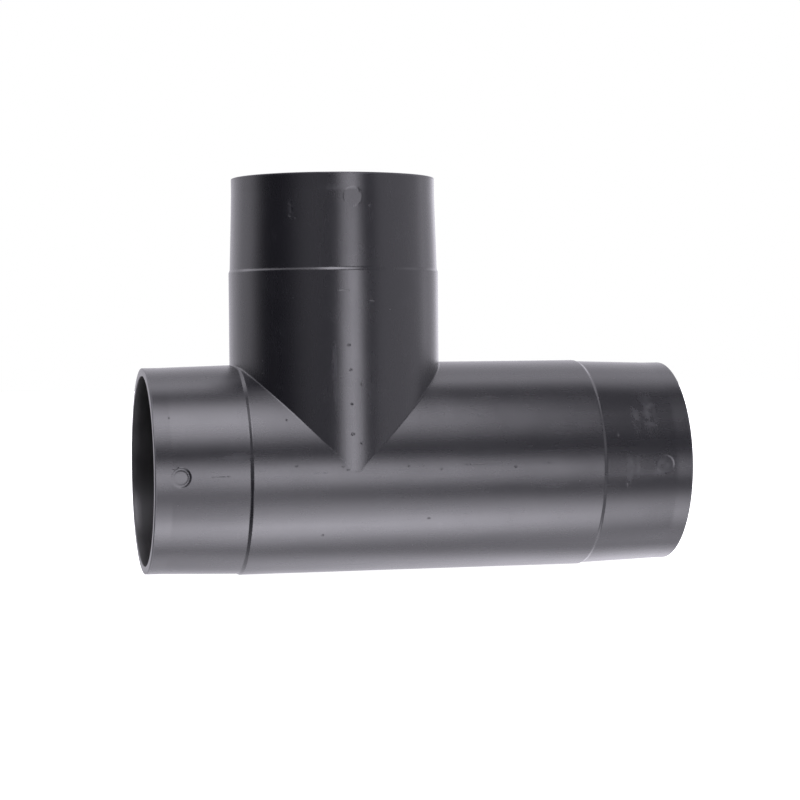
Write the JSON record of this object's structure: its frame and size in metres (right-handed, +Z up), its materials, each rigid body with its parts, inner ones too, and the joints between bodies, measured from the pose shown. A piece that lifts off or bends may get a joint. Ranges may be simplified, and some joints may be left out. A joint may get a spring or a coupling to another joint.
{
  "type": "pipe tee",
  "caption": "Plastic pipe tee with three equal spigot ends, its branch nearer to one end of the run than to the other.",
  "frame": {"origin": "point where the run's centre line and the branch's centre line cross, inside the junction", "axes": "+X along the run towards its long arm, +Z up the branch towards its mouth, +Y completes a right-handed frame"},
  "size_m": [0.291, 0.1136, 0.2132],
  "materials": {
    "barrel_plastic": "satin moulded black polyethylene",
    "spigot_plastic": "satin moulded black polyethylene with faint handling scuffs"
  },
  "bodies": {
    "root": {"run_barrel": "barrel_plastic", "branch_barrel": "barrel_plastic", "left_spigot": "spigot_plastic", "right_spigot": "spigot_plastic", "branch_spigot": "spigot_plastic"}
  },
  "joints": []
}
